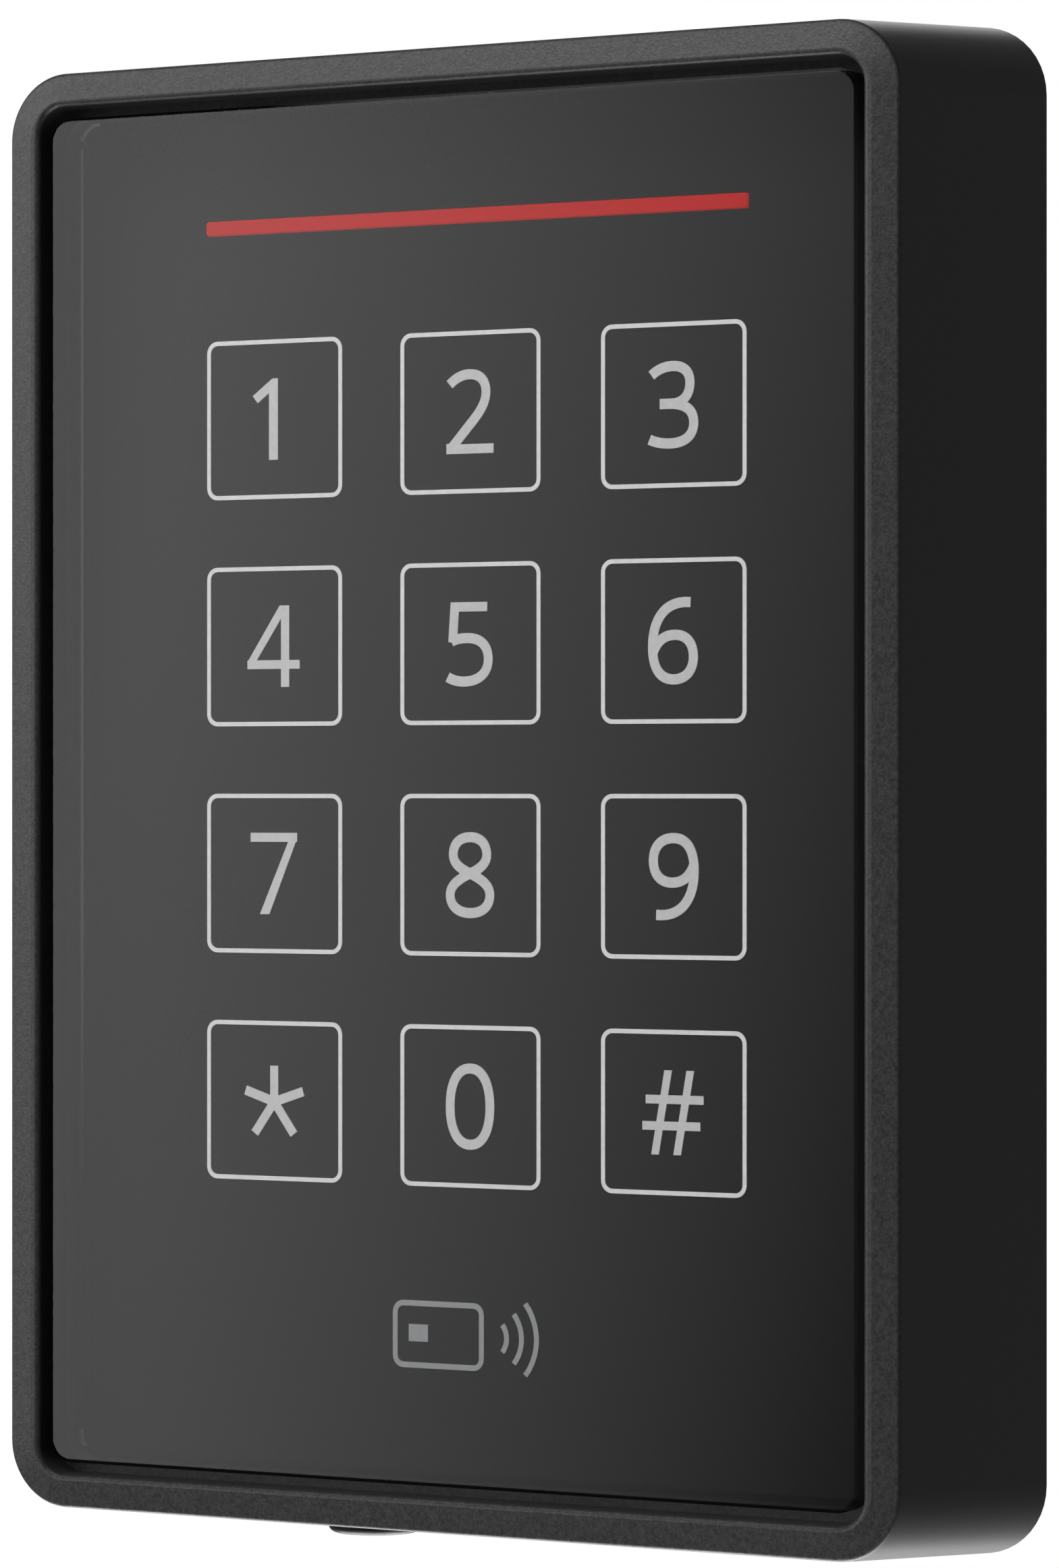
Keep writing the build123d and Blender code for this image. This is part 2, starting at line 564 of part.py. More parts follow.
# ==== wall plate with its slots, cable entry, tongues and the lock tab =====================
with BuildPart() as wall_plate:
    with BuildSketch(at(0)):
        RectangleRounded(plate_w, plate_t, plate_corner)
        with Locations((0, entry_z)):
            RectangleRounded(entry_w, entry_t, entry_corner, mode=Mode.SUBTRACT)
        with Locations((tamper_x, tamper_z)):
            Circle(plunger_r + plunger_clearance, mode=Mode.SUBTRACT)
    extrude(amount=plate_h)
    with BuildSketch(at(0)):
        with Locations((-box_spacing_x / 2, 0), (box_spacing_x / 2, 0)):
            SlotOverall(slot_length, 2 * slot_r)
        with Locations((0, -box_spacing_z / 2), (0, box_spacing_z / 2)):
            SlotOverall(slot_length, 2 * slot_r, rotation=90)
    extrude(amount=plate_h, mode=Mode.SUBTRACT)
    slot_edges = [
        edge
        for wire in wall_plate.faces().sort_by(Axis.Y)[0].inner_wires()
        if abs(max(wire.bounding_box().size.X, wire.bounding_box().size.Z) - slot_length) < close_enough
        for edge in wire.edges()
    ]
    chamfer(slot_edges, slot_chamfer)
    with BuildSketch(at(tongue_back_h)):
        with Locations((-tongue_x, plate_t / 2), (tongue_x, plate_t / 2)):
            Rectangle(tongue_w, tongue_t)
    extrude(amount=plate_h - tongue_back_h)
    with BuildSketch(at(plate_h)):
        with Locations((lock_x, (tab_low_z + tab_high_z) / 2)):
            Rectangle(tab_w, tab_high_z - tab_low_z)
    extrude(amount=tab_top_h - plate_h)
    with BuildSketch(Plane.XY.offset(tab_low_z)):
        with Locations((lock_x, -lock_h)):
            Circle(insert_r)
    extrude(amount=tab_high_z - tab_low_z, mode=Mode.SUBTRACT)
finish(wall_plate, "wall_plate")

# ==== locking screw, its sealing washer and the threaded insert ============================
with BuildPart() as lock_insert:
    with BuildSketch(Plane.XY.offset(tab_low_z)):
        with Locations((lock_x, -lock_h)):
            Circle(insert_r)
            Circle(insert_bore_r, mode=Mode.SUBTRACT)
    extrude(amount=tab_high_z - tab_low_z)
finish(lock_insert, "lock_insert")

with BuildPart() as seal_washer:
    with BuildSketch(Plane.XY.offset(seat_z - washer_thick)):
        with Locations((lock_x, -lock_h)):
            Circle(washer_r)
            Circle(shank_r + washer_play, mode=Mode.SUBTRACT)
    extrude(amount=washer_thick)
finish(seal_washer, "seal_washer")

head_top_z = seat_z - washer_thick
with BuildPart() as locking_screw:
    with BuildSketch(Plane.XY.offset(head_top_z - head_height)):
        with Locations((lock_x, -lock_h)):
            Circle(head_r)
    extrude(amount=head_height)
    fillet(locking_screw.edges().sort_by(Axis.Z)[0], head_round)
    with BuildSketch(Plane.XY.offset(head_top_z)):
        with Locations((lock_x, -lock_h)):
            Circle(shank_r)
    extrude(amount=tab_high_z + shank_end - head_top_z)
    with BuildSketch(Plane.XY.offset(head_top_z - head_height)):
        with Locations((lock_x, -lock_h)):
            RegularPolygon(hex_r, 6)
            Circle(hex_pin_r, mode=Mode.SUBTRACT)
    extrude(amount=hex_depth, mode=Mode.SUBTRACT)
finish(locking_screw, "locking_screw")
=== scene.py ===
import json
import math
from collections import Counter

import bmesh
import bpy
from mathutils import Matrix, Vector, geometry


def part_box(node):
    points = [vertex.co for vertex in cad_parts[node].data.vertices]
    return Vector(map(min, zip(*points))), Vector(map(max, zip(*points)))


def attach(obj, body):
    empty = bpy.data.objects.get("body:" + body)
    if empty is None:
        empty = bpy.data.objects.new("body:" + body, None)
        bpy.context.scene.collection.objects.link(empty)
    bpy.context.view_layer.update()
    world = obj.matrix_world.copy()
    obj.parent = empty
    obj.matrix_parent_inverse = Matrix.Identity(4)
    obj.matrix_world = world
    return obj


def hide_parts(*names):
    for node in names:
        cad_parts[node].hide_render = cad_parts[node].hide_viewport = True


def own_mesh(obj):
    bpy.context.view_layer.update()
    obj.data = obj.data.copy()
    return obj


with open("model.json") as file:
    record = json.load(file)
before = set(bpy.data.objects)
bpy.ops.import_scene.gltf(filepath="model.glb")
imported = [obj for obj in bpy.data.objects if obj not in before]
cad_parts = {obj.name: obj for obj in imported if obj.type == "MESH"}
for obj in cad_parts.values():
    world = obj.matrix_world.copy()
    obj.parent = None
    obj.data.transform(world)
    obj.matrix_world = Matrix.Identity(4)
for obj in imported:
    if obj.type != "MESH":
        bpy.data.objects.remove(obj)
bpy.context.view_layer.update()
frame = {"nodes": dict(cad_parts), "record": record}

MM = 0.001
READER = "reader"

# ---- places taken from the frame ----------------------------------------------------------
window_low, window_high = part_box("front_window")
ink_low, ink_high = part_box("key_outline_ink")
PRINT_FRONT, PRINT_BACK = ink_low.y, ink_high.y
KEY_PITCH = 17.5 * MM
KEY_COLUMNS = (-KEY_PITCH, 0.0, KEY_PITCH)
KEY_OUTLINE = 12.28 * MM
TOP_ROW_Z = ink_high.z - KEY_OUTLINE / 2
MARK_Z = -41.3 * MM

# ==== scene: camera, floor, world and lights ================================================
CAMERA_PLACE = (0.23406, -0.41335, 0.0)
CAMERA_ROTATION = (math.radians(90), 0, math.radians(30))
CAMERA_LENS, CAMERA_SHIFT = 139.85, 0.0041
STUDIO_DIM, BACKDROP_BRIGHT = 0.155, 1.0
FLOOR_HALF, FLOOR_Z, FLOOR_GREY, FLOOR_ROUGH = 4.0, -1.2, 0.45, 0.9
TARGET = (0, -0.011, 0)
KEY_LIGHT_Z = 0.30
# The key light fades out between two shares of its width, as measured at FADE_LEVEL of its height.
FADE_START, FADE_END, FADE_LEVEL, FADE_LEAN = 0.517, 0.706, 0.27, -0.17


def make_camera():
    """The main view: 30 degrees to the right of the front, level with the middle."""
    data = bpy.data.cameras.new("camera")
    data.lens = CAMERA_LENS
    data.shift_y = CAMERA_SHIFT
    camera = bpy.data.objects.new("camera", data)
    camera.location = CAMERA_PLACE
    camera.rotation_euler = CAMERA_ROTATION
    bpy.context.scene.collection.objects.link(camera)
    bpy.context.scene.camera = camera


def make_world():
    """White to the camera, and dim to everything else, as in a dark studio with a lit backdrop."""
    world = bpy.data.worlds.new("studio")
    world.use_nodes = True
    tree = world.node_tree
    tree.nodes.clear()
    output = tree.nodes.new("ShaderNodeOutputWorld")
    mix = tree.nodes.new("ShaderNodeMixShader")
    path = tree.nodes.new("ShaderNodeLightPath")
    tree.links.new(path.outputs["Is Camera Ray"], mix.inputs["Fac"])
    for socket, strength in ((1, STUDIO_DIM), (2, BACKDROP_BRIGHT)):
        background = tree.nodes.new("ShaderNodeBackground")
        background.inputs["Color"].default_value = (1, 1, 1, 1)
        background.inputs["Strength"].default_value = strength
        tree.links.new(background.outputs[0], mix.inputs[socket])
    tree.links.new(mix.outputs[0], output.inputs["Surface"])
    bpy.context.scene.world = world


def soft_light(name, place, target, width, height, radiance):
    """A rectangular softbox. Its power is set so that its face is as bright as radiance."""
    data = bpy.data.lights.new(name, "AREA")
    data.shape = "RECTANGLE"
    data.size, data.size_y = width, height
    data.energy = radiance * math.pi * width * height
    light = bpy.data.objects.new(name, data)
    light.location = place
    light.rotation_euler = (Vector(target) - Vector(place)).to_track_quat("-Z", "Y").to_euler()
    bpy.context.scene.collection.objects.link(light)
    return data


def fade_softbox(data, start, end, level, lean):
    """Let a softbox fade out across its width, from start to end. The fade shifts by lean over its height."""
    data.use_nodes = True
    tree = data.node_tree
    place = tree.nodes.new("ShaderNodeSeparateXYZ")
    tree.links.new(tree.nodes.new("ShaderNodeNewGeometry").outputs["Parametric"], place.inputs[0])
    leaning = tree.nodes.new("ShaderNodeMath")
    leaning.operation = "MULTIPLY_ADD"
    leaning.inputs[1].default_value = lean
    fade = tree.nodes.new("ShaderNodeMapRange")
    fade.inputs["From Min"].default_value = start + level * lean
    fade.inputs["From Max"].default_value = end + level * lean
    fade.inputs["To Min"].default_value = 1.0
    fade.inputs["To Max"].default_value = 0.0
    tree.links.new(place.outputs["Y"], leaning.inputs[0])
    tree.links.new(place.outputs["X"], leaning.inputs[2])
    tree.links.new(leaning.outputs[0], fade.inputs["Value"])
    tree.links.new(fade.outputs["Result"], tree.nodes["Emission"].inputs["Strength"])


def make_floor():
    """A plain pale floor, well below the reader, which hangs on a wall. It is white to the camera only."""
    mesh = bpy.data.meshes.new("floor")
    corners = [(x * FLOOR_HALF, y * FLOOR_HALF, FLOOR_Z) for x, y in ((-1, -1), (1, -1), (1, 1), (-1, 1))]
    mesh.from_pydata(corners, [], [(0, 1, 2, 3)])
    floor = bpy.data.objects.new("floor", mesh)
    bpy.context.scene.collection.objects.link(floor)
    material = bpy.data.materials.new("floor")
    material.use_nodes = True
    tree = material.node_tree
    shader = tree.nodes["Principled BSDF"]
    shader.inputs["Base Color"].default_value = (FLOOR_GREY, FLOOR_GREY, FLOOR_GREY, 1)
    shader.inputs["Roughness"].default_value = FLOOR_ROUGH
    shader.inputs["Emission Color"].default_value = (1, 1, 1, 1)
    path = tree.nodes.new("ShaderNodeLightPath")
    tree.links.new(path.outputs["Is Camera Ray"], shader.inputs["Emission Strength"])
    mesh.materials.append(material)


make_camera()
make_world()
make_floor()
bpy.context.scene.view_settings.view_transform = "Standard"
key_place, key_target = (-0.72, -1.02, KEY_LIGHT_Z), (*TARGET[:2], KEY_LIGHT_Z)
key_light = soft_light("key_softbox", key_place, key_target, width=1.3, height=1.1, radiance=1.65)
fade_softbox(key_light, FADE_START, FADE_END, FADE_LEVEL, FADE_LEAN)
# The other softboxes: name, place, width, height and radiance. They all face the reader.
for name, place, width, height, radiance in (
    ("left_softbox", (-1.13, -0.55, 0.55), 0.6, 0.9, 1.9),
    ("upper_softbox", (-0.35, -0.75, 1.05), 0.7, 0.7, 9.5),
    ("low_softbox", (-0.12, 0.15, -0.70), 0.8, 0.8, 8.0),
    ("rear_softbox", (-0.7, 1.0, 0.6), 0.9, 0.9, 3.0),
):
    soft_light(name, place, TARGET, width, height, radiance)

# ==== materials =============================================================================


def grey(tone):
    return (tone, tone, tone)


def scaled(colour, factor):
    return tuple(c * factor for c in colour)


class Nodes:
    """A short way to build a material's node tree."""

    def __init__(self, name):
        self.material = bpy.data.materials.new(name)
        self.material.use_nodes = True
        self.tree = self.material.node_tree
        self.tree.nodes.clear()
        self.output = self.add("OutputMaterial")
        self.coordinates = self.add("TexCoord").outputs["Object"]

    def add(self, kind, **values):
        """A new shader node of that kind, with those settings."""
        node = self.tree.nodes.new("ShaderNode" + kind)
        for key, value in values.items():
            setattr(node, key, value)
        return node

    def link(self, source, target):
        self.tree.links.new(source, target)

    def split(self, vector):
        """The X, Y and Z outputs of a vector."""
        node = self.add("SeparateXYZ")
        self.link(vector, node.inputs[0])
        return node.outputs

    def noise(self, size, detail=2.0, rough=0.5):
        """Noise whose grains are about size metres across."""
        node = self.add("TexNoise")
        node.inputs["Scale"].default_value = 1 / size
        node.inputs["Detail"].default_value = detail
        node.inputs["Roughness"].default_value = rough
        self.link(self.coordinates, node.inputs["Vector"])
        return node.outputs["Fac"]

    def ramp(self, source, low, high, start=0.3, end=0.7, shift=0.0):
        """Colours or greys from low to high, as source goes from start to end, both moved by shift."""
        if shift:
            source = self.math("SUBTRACT", source, shift)
        node = self.add("ValToRGB")
        for element, place, colour in zip(node.color_ramp.elements, (start, end), (low, high)):
            element.position = place
            element.color = (*colour, 1) if hasattr(colour, "__len__") else (*grey(colour), 1)
        self.link(source, node.inputs["Fac"])
        return node.outputs["Color"]

    def math(self, operation, a, b=0.0):
        """One step of arithmetic on sockets or numbers."""
        node = self.add("Math", operation=operation)
        for socket, value in zip(node.inputs, (a, b)):
            if isinstance(value, (int, float)):
                socket.default_value = value
            else:
                self.link(value, socket)
        return node.outputs[0]

    def between(self, share, low, high):
        """A number that goes from low to high as share goes from 0 to 1."""
        return self.math("ADD", self.math("MULTIPLY", share, high - low), low)

    def near(self, value, middle, half):
        """1 where value is within half of middle, and 0 elsewhere."""
        return self.math("LESS_THAN", self.math("ABSOLUTE", self.math("SUBTRACT", value, middle)), half)

    def mixed(self, share, first, second):
        """The first shader where share is 0, and the second where it is 1."""
        node = self.add("MixShader")
        for socket, source in zip(node.inputs, (share, first, second)):
            self.link(source, socket)
        return node.outputs[0]

    def shader(self, kind, colour):
        """A plain shader of that kind and colour."""
        node = self.add(kind)
        node.inputs["Color"].default_value = (*colour, 1)
        return node

    def bump(self, height, depth, strength=1.0):
        """A normal that height tips, for relief that is depth metres deep."""
        node = self.add("Bump")
        node.inputs["Distance"].default_value = depth
        if isinstance(strength, (int, float)):
            node.inputs["Strength"].default_value = strength
        else:
            self.link(strength, node.inputs["Strength"])
        self.link(height, node.inputs["Height"])
        return node.outputs["Normal"]

    def principled(self, colour, rough, normal=None, metal=0.0, **inputs):
        """The material's surface. Other inputs are named with underscores for spaces."""
        shader = self.add("BsdfPrincipled")
        for name, value in (("Base Color", colour), ("Roughness", rough), ("Metallic", metal)):
            if isinstance(value, (int, float)):
                shader.inputs[name].default_value = value
            elif isinstance(value, tuple):
                shader.inputs[name].default_value = (*value, 1)
            else:
                self.link(value, shader.inputs[name])
        if normal is not None:
            self.link(normal, shader.inputs["Normal"])
        for name, value in inputs.items():
            shader.inputs[name.replace("_", " ")].default_value = value
        self.link(shader.outputs[0], self.output.inputs["Surface"])
        return shader


def moulded(name, colour, rough=0.5, grain=0.20, depth=0.010, spread=0.25, shine=0.5):
    """Moulded plastic: a fine grain, and a slow drift in gloss. Grain and depth are in mm."""
    n = Nodes(name)
    fine, slow = n.noise(grain * MM, detail=3), n.noise(9 * MM)
    tone = n.ramp(fine, scaled(colour, 1 - spread), scaled(colour, 1 + spread))
    gloss = n.ramp(slow, rough * 0.9, rough * 1.1)
    n.principled(tone, gloss, n.bump(fine, depth * MM), Specular_IOR_Level=shine)
    return n.material


def casing(name):
    """The housing's black: a coarse spark grain on the rim's front, and a smoother satin on the sides."""
    grain_depth = 0.040 * MM
    fine_share, coarse_share = 0.65, 0.35
    side_rough, front_rough = 0.52, 0.42
    side_strength, front_strength = 0.30, 0.97
    shine, upturned_shine = 0.5, 0.12
    n = Nodes(name)
    normal = n.split(n.add("NewGeometry").outputs["Normal"])
    facing = n.math("SMOOTH_MAX", n.math("MULTIPLY", normal["Y"], -1.0), 0.0)
    fine = n.noise(0.20 * MM, detail=3, rough=0.6)
    coarse = n.noise(0.42 * MM)
    grain = n.math("ADD", n.math("MULTIPLY", fine, fine_share), n.math("MULTIPLY", coarse, coarse_share))
    front_tone = n.ramp(grain, (0.013, 0.013, 0.0132), (0.041, 0.041, 0.0415), start=0.38, end=0.62)
    side_tone = n.ramp(fine, (0.0110, 0.0110, 0.0112), (0.0150, 0.0150, 0.0152))
    mix = n.add("MixRGB")
    for socket, source in zip(mix.inputs, (facing, side_tone, front_tone)):
        n.link(source, socket)
    rough = n.between(facing, side_rough, front_rough)
    strength = n.between(facing, side_strength, front_strength)
    shader = n.principled(mix.outputs["Color"], rough, n.bump(grain, grain_depth, strength))
    # Faces that look up, and a little forwards, shine less.
    up = n.ramp(normal["Z"], 0.0, 1.0, start=0.15, end=0.35)
    forwards = n.ramp(facing, 0.0, 1.0, start=0.1, end=0.3)
    upturned = n.math("MULTIPLY", up, forwards)
    n.link(n.between(upturned, shine, upturned_shine), shader.inputs["Specular IOR Level"])
    return n.material


# The painted glint along the window's rear bevel: where it lies front to back, how wide it is behind the left
# edge, the gap in it near its top, and the short painted dash at its foot.
GLINT_BAND_Y, GLINT_BAND_HALF, GLINT_BAND_WIDTH = -17.52 * MM, 0.25 * MM, 1.8 * MM
GLINT_GAP_Z, GLINT_GAP_HALF = window_high.z - 1.65 * MM, 0.3 * MM
GLINT_DASH_Z, GLINT_DASH_HALF = window_low.z + 1.5 * MM, 0.65 * MM
PLASTIC_IOR = 1.49


def window_outside(n, towards):
    """What meets light from outside: a gloss over clear plastic, which is darker at the cut edges."""
    flat_face, edge_clear = 0.6, 0.7
    smooth, rough = 0.020, 0.035
    edge_mirror, face_mirror = 0.03, 1.0
    fresnel = n.add("Fresnel")
    fresnel.inputs["IOR"].default_value = PLASTIC_IOR
    gloss = n.shader("BsdfGlossy", (1, 1, 1))
    n.link(n.ramp(n.noise(6 * MM, detail=4, rough=0.6), smooth, rough), gloss.inputs["Roughness"])
    through = n.shader("BsdfTransparent", (0.97, 0.97, 0.98))
    edge = n.shader("BsdfDiffuse", grey(0.016))
    clear = n.math("MAXIMUM", n.math("GREATER_THAN", towards, flat_face), edge_clear)
    body = n.mixed(clear, edge.outputs[0], through.outputs[0])
    facing = n.ramp(towards, edge_mirror, face_mirror, start=0.975, end=0.999)
    return n.mixed(n.math("MULTIPLY", fresnel.outputs[0], facing), body, gloss.outputs[0])


def window_inside(n, normal, towards):
    """What meets light from inside: clear at the back, and dark at the edges but for a painted glint on the
    rear bevel and painted light on the top wall.
    """
    flat_face, top_wall = 0.95, 0.8
    # The first two tones are painted light: a glint on the rear bevel and a lit strip on the top wall.
    painted_glint_tone, painted_wall_light_tone, dark_tone = 0.22, 0.055, 0.004
    place = n.split(n.coordinates)
    # Painted glint: the bevel behind the left edge is painted lighter, all but its lower third, with a gap
    # near its top and a short dash at its foot.
    height = n.math("DIVIDE", place["Z"], window_high.z)
    painted_glint = n.ramp(height, 0.0, 1.0, start=0.0, end=0.4, shift=-0.6)
    painted_glint = n.math("MAXIMUM", painted_glint, n.near(place["Z"], GLINT_DASH_Z, GLINT_DASH_HALF))
    left = n.math("GREATER_THAN", n.math("MULTIPLY", place["X"], -1.0), window_high.x - GLINT_BAND_WIDTH)
    painted_glint_band = n.near(place["Y"], GLINT_BAND_Y, GLINT_BAND_HALF)
    painted_glint_gap = n.math("SUBTRACT", 1.0, n.near(place["Z"], GLINT_GAP_Z, GLINT_GAP_HALF))
    painted_glint = n.math("MULTIPLY", n.math("MULTIPLY", painted_glint, left), n.math("MULTIPLY", painted_glint_band, painted_glint_gap))
    # Painted light: the top wall is painted lighter than the edges, less than the glint, and its left quarter
    # not at all.
    across = n.math("DIVIDE", place["X"], window_high.x)
    painted_light_share = n.ramp(across, 0.0, 1.0, start=0.0, end=0.25, shift=-0.45)
    top = n.math("GREATER_THAN", n.math("MULTIPLY", normal["Z"], -1.0), top_wall)
    painted_wall_light = n.math("MULTIPLY", n.math("MULTIPLY", painted_light_share, top), painted_wall_light_tone)
    # The painted glint and the top wall's painted light, over the edges' own dark.
    tone = n.math("MAXIMUM", painted_wall_light, n.math("MULTIPLY", painted_glint, painted_glint_tone))
    edge = n.add("BsdfDiffuse")
    n.link(n.math("ADD", tone, dark_tone), edge.inputs["Color"])
    through = n.add("BsdfTransparent")
    return n.mixed(n.math("GREATER_THAN", towards, flat_face), edge.outputs[0], through.outputs[0])


def clear_window(name):
    """The clear window: a front that mirrors the studio, a back that shows the print, and dark cut edges with
    painted glints and painted light seen through the front.
    """
    n = Nodes(name)
    surface = n.add("NewGeometry")
    normal = n.split(surface.outputs["Normal"])
    towards = n.math("ABSOLUTE", normal["Y"])
    outside, inside = window_outside(n, towards), window_inside(n, normal, towards)
    n.link(n.mixed(surface.outputs["Backfacing"], outside, inside), n.output.inputs["Surface"])
    return n.material


def printed(name, colour, glow, glow_strength, rough=0.6):
    """Screen-printed ink with a faint mottle, lit from behind."""
    n = Nodes(name)
    mottle = n.noise(0.5 * MM, detail=3)
    tone = n.ramp(mottle, scaled(colour, 0.94), scaled(colour, 1.04))
    shader = n.principled(tone, rough, Specular_IOR_Level=0.02)
    light = n.ramp(mottle, scaled(glow, 0.96), scaled(glow, 1.04))
    n.link(light, shader.inputs["Emission Color"])
    shader.inputs["Emission Strength"].default_value = glow_strength
    return n.material


def metal(name, colour, rough=0.3, brushed=0.15):
    """Plated or turned metal with fine tool marks, which are brushed mm apart."""
    n = Nodes(name)
    fine, slow = n.noise(brushed * MM, detail=3, rough=0.6), n.noise(3 * MM)
    tone = n.ramp(slow, scaled(colour, 0.86), colour)
    gloss = n.ramp(fine, rough * 0.75, rough * 1.35)
    n.principled(tone, gloss, n.bump(fine, 0.004 * MM), metal=1.0)
    return n.material


def circuit_board(name, colour):
    """Solder mask over copper: paler where the tracks run under it."""
    n = Nodes(name)
    tracks = n.add("TexBrick")
    tracks.inputs["Scale"].default_value = 1 / (4 * MM)
    tracks.inputs["Mortar Size"].default_value = 0.03
    for socket, factor in (("Color1", 1.0), ("Color2", 1.15), ("Mortar", 1.8)):
        tracks.inputs[socket].default_value = (*scaled(colour, factor), 1)
    turn = n.add("Mapping")
    turn.inputs["Rotation"].default_value = (math.radians(90), 0, 0)
    n.link(n.coordinates, turn.inputs["Vector"])
    n.link(turn.outputs[0], tracks.inputs["Vector"])
    fine = n.noise(0.3 * MM)
    n.principled(tracks.outputs["Color"], n.ramp(fine, 0.28, 0.38), n.bump(tracks.outputs["Fac"], 0.02 * MM))
    return n.material


plastics = {
    "seal_rubber": dict(colour=grey(0.034), rough=0.8, grain=0.3, shine=0.25),
    "film_black": dict(
        colour=(0.0075, 0.0075, 0.0077), rough=0.6, grain=0.5, depth=0.002, spread=0.1, shine=0.05
    ),
    "adhesive_black": dict(colour=grey(0.012), rough=0.8, grain=0.4, depth=0.02),
    "guide_clear": dict(colour=(0.72, 0.73, 0.73), rough=0.35, grain=0.4, depth=0.004, spread=0.05),
    "lamp_white": dict(colour=(0.80, 0.76, 0.62), rough=0.3, depth=0.003, spread=0.06),
    "ferrite": dict(colour=(0.045, 0.042, 0.042), rough=0.7, grain=0.25, depth=0.02),
    "frame_plastic": dict(colour=(0.05, 0.05, 0.052), rough=0.55),
    "connector_black": dict(colour=grey(0.018)),
    "chip_black": dict(colour=(0.020, 0.020, 0.021), rough=0.6, grain=0.12, depth=0.008),
    "capacitor_tan": dict(colour=(0.34, 0.23, 0.13), rough=0.4, grain=0.15, depth=0.004),
    "terminal_green": dict(colour=(0.030, 0.22, 0.085), rough=0.42, grain=0.25, depth=0.006, spread=0.12),
    "button_orange": dict(colour=(0.70, 0.17, 0.025), rough=0.40, grain=0.25, depth=0.005, spread=0.1),
    "plunger_red": dict(colour=(0.45, 0.025, 0.02), rough=0.32, grain=0.3, depth=0.004, spread=0.1),
    "cover_black": dict(colour=(0.024, 0.024, 0.025), grain=0.3, depth=0.012),
    "plate_black": dict(colour=(0.030, 0.030, 0.031), rough=0.55, grain=0.26, depth=0.022, spread=0.3),
    "washer_nylon": dict(colour=grey(0.030), rough=0.45),
}
inks = {
    "ink_white": dict(colour=grey(0.70), glow=grey(1.0), glow_strength=0.03),
    "ink_pale": dict(colour=grey(0.56), glow=grey(1.0), glow_strength=0.02),
    "ink_grey": dict(colour=(0.30, 0.31, 0.31), glow=(0.92, 1.0, 1.0), glow_strength=0.01),
    "bar_red": dict(colour=(0.24, 0.005, 0.004), glow=(1.0, 0.008, 0.007), glow_strength=0.25, rough=0.4),
}
metals = {
    "copper": dict(colour=(0.72, 0.33, 0.18), rough=0.35),
    "pin_tin": dict(colour=(0.72, 0.72, 0.70), rough=0.25),
    "spring_steel": dict(colour=grey(0.62), rough=0.22),
    "screw_steel": dict(colour=(0.55, 0.55, 0.54)),
    "screw_black": dict(colour=(0.045, 0.045, 0.047), rough=0.38),
    "brass": dict(colour=(0.78, 0.57, 0.25), rough=0.25),
}
materials = {
    "housing_black": casing("housing_black"),
    "window_clear": clear_window("window_clear"),
    "board_black": circuit_board("board_black", (0.012, 0.014, 0.013)),
    "board_green": circuit_board("board_green", (0.010, 0.085, 0.040)),
}
for make, looks in ((moulded, plastics), (printed, inks), (metal, metals)):
    for name, values in looks.items():
        materials[name] = make(name, **values)

for part in frame["record"]["subparts"]:
    mesh = frame["nodes"][part["node"]].data
    mesh.materials.clear()
    mesh.materials.append(materials[part["material_slot"]])


def make_piece(name, grid, material):
    """A fixed piece of the reader, from a bmesh that isn't needed again."""
    mesh = bpy.data.meshes.new(name)
    grid.to_mesh(mesh)
    grid.free()
    piece = bpy.data.objects.new(name, mesh)
    bpy.context.scene.collection.objects.link(piece)
    mesh.materials.append(materials[material])
    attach(piece, READER)
    return piece


# ==== printed legends =======================================================================
# Shapes are in millimetres about the middle of a key. STROKE is the pen's width, and CAP half a numeral's
# height.
STROKE, STAR_STROKE, HASH_STROKE, SIGN_STROKE = 0.76, 0.72, 0.64, 0.42
CAP = 3.135
CURVE_STEPS = 14
SAME_POINT = 1e-6
MERGE_DISTANCE = 1e-5
FLAT_ANGLE = 0.001


def curve(start, *bends):
    """Points of a run of cubic curves: start, then (control, control, end) for each."""
    points = [Vector(start)]
    for bend in bends:
        a, (b, c, d) = points[-1], map(Vector, bend)
        points += geometry.interpolate_bezier(a, b, c, d, CURVE_STEPS)[1:]
    return points


def stroke(points, width=STROKE):
    """The run of quads that a pen of that width covers along the points."""
    points = [Vector(p) for p in points]
    closed = (points[0] - points[-1]).length < SAME_POINT
    sides = []
    for i, point in enumerate(points):
        before, after = points[max(i - 1, 0)], points[min(i + 1, len(points) - 1)]
        if closed and i in (0, len(points) - 1):
            before, after = points[-2], points[1]
        along = (after - before).normalized()
        across = Vector((-along.y, along.x)) * width / 2
        sides.append((point + across, point - across))
    return [[a, b, d, c] for (a, b), (c, d) in zip(sides, sides[1:])]


def polygon(*points):
    return [[Vector(p) for p in points]]


def block(x0, y0, x1, y1):
    return polygon((x0, y0), (x1, y0), (x1, y1), (x0, y1))


def turned(polygons):
    """The polygons after half a turn."""
    return [[-p for p in points] for points in polygons]


def glyph_zero():
    """A superellipse: an oval with fuller shoulders."""
    across, up, power, steps = 1.74, 2.88, 2.25, 64
    points = []
    for i in range(steps + 1):
        angle = 2 * math.pi * i / steps
        c, s = math.cos(angle), math.sin(angle)
        x = math.copysign(across * abs(c) ** (2 / power), c)
        y = math.copysign(up * abs(s) ** (2 / power), s)
        points.append((x, y))
    return stroke(points)


def glyph_one():
    return polygon(
        (-0.16, CAP), (0.33, CAP), (0.33, -CAP), (-0.47, -CAP), (-0.47, 2.03), (-1.50, 1.27), (-1.96, 1.82)
    )


def glyph_two():
    bowl = curve(
        (-1.79, 2.12),
        ((-1.30, 2.58), (-0.70, 2.86), (-0.05, 2.86)),
        ((0.85, 2.86), (1.40, 2.35), (1.40, 1.52)),
        ((1.40, 0.55), (0.75, -0.15), (-0.20, -1.15)),
    )
    neck = stroke(bowl + [Vector((-1.66, -2.72))])
    return neck + block(-2.07, -CAP, 2.06, -2.42) + block(-2.07, -CAP, -1.6, -2.36)


